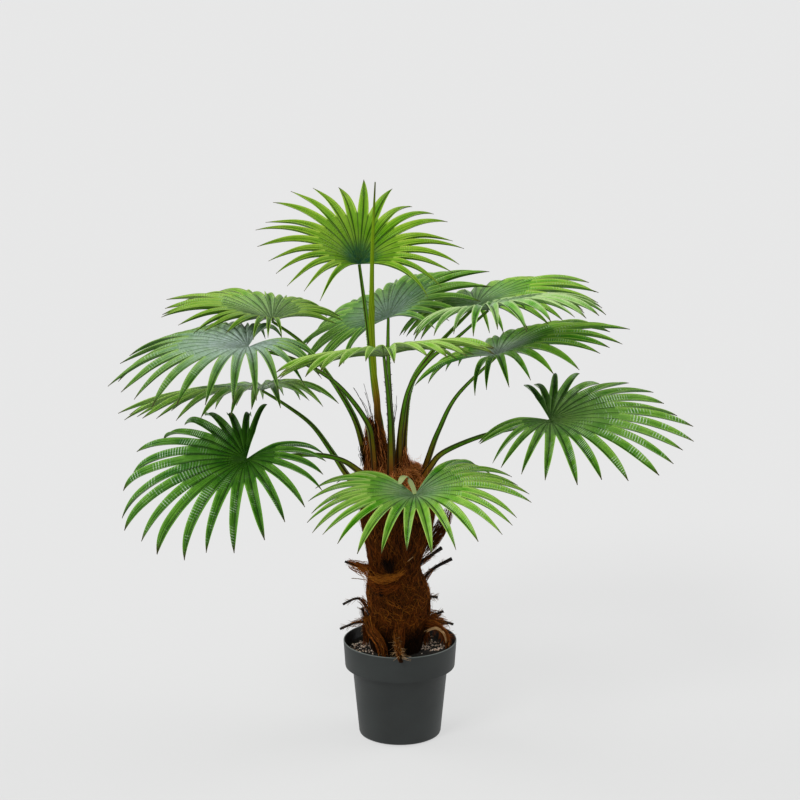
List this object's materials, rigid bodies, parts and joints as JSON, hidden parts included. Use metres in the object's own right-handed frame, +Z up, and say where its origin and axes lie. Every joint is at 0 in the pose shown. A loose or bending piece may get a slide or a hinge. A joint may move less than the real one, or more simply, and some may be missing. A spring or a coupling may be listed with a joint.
{
  "type": "artificial potted fan palm",
  "caption": "Artificial fan palm: moulded fans on wire-like stems and a spear leaf rise from a coir-wrapped trunk with prop roots that is set in a filled nursery pot.",
  "frame": {"origin": "middle of the pot's flat underside, at floor level", "axes": "+Z up along the trunk, +X to the right and -Y to the front as the picture shows the plant"},
  "size_m": [0.9375, 0.7565, 0.9391],
  "materials": {
    "pot_plastic": "matt moulded polypropylene, dark grey",
    "pot_fill": "cement topped with dark soil and small pebbles",
    "coir": "matt, rough coconut fibre",
    "old_leaf": "matt, dry black-brown leaf bases with brushy ends",
    "spear": "satin moulded plastic, yellow-green",
    "stem": "satin plastic over wire, green with brown edges",
    "leaf": "satin moulded plastic, green with paler ribs"
  },
  "bodies": {
    "root": {"pot": "pot_plastic", "pot_fill": "pot_fill", "trunk": "coir", "crown_fibre": "coir", "old_sheath": "coir", "root_left_front": "coir", "root_front": "coir", "root_right": "coir", "root_back_right": "coir", "root_back_left": "coir", "stub_left_upper": "old_leaf", "stub_left_middle": "old_leaf", "stub_left_low": "old_leaf", "stub_left_upright": "old_leaf", "stub_right_top": "old_leaf", "stub_right_upper": "old_leaf", "stub_right_middle": "old_leaf", "stub_right_low": "old_leaf", "stub_right_foot": "old_leaf", "stub_back_upper": "old_leaf", "stub_back_middle": "old_leaf", "stub_back_low": "old_leaf", "spear_leaf": "spear", "petiole_top": "stem", "petiole_back": "stem", "petiole_left_back": "stem", "petiole_left_upper": "stem", "petiole_left_middle": "stem", "petiole_left_low": "stem", "petiole_front_upper": "stem", "petiole_right_back": "stem", "petiole_right_upper": "stem", "petiole_right_middle": "stem", "petiole_right_low": "stem", "petiole_front_low": "stem", "frond_top": "leaf", "frond_back": "leaf", "frond_left_back": "leaf", "frond_left_upper": "leaf", "frond_left_middle": "leaf", "frond_left_low": "leaf", "frond_front_upper": "leaf", "frond_right_back": "leaf", "frond_right_upper": "leaf", "frond_right_middle": "leaf", "frond_right_low": "leaf", "frond_front_low": "leaf"}
  },
  "joints": []
}
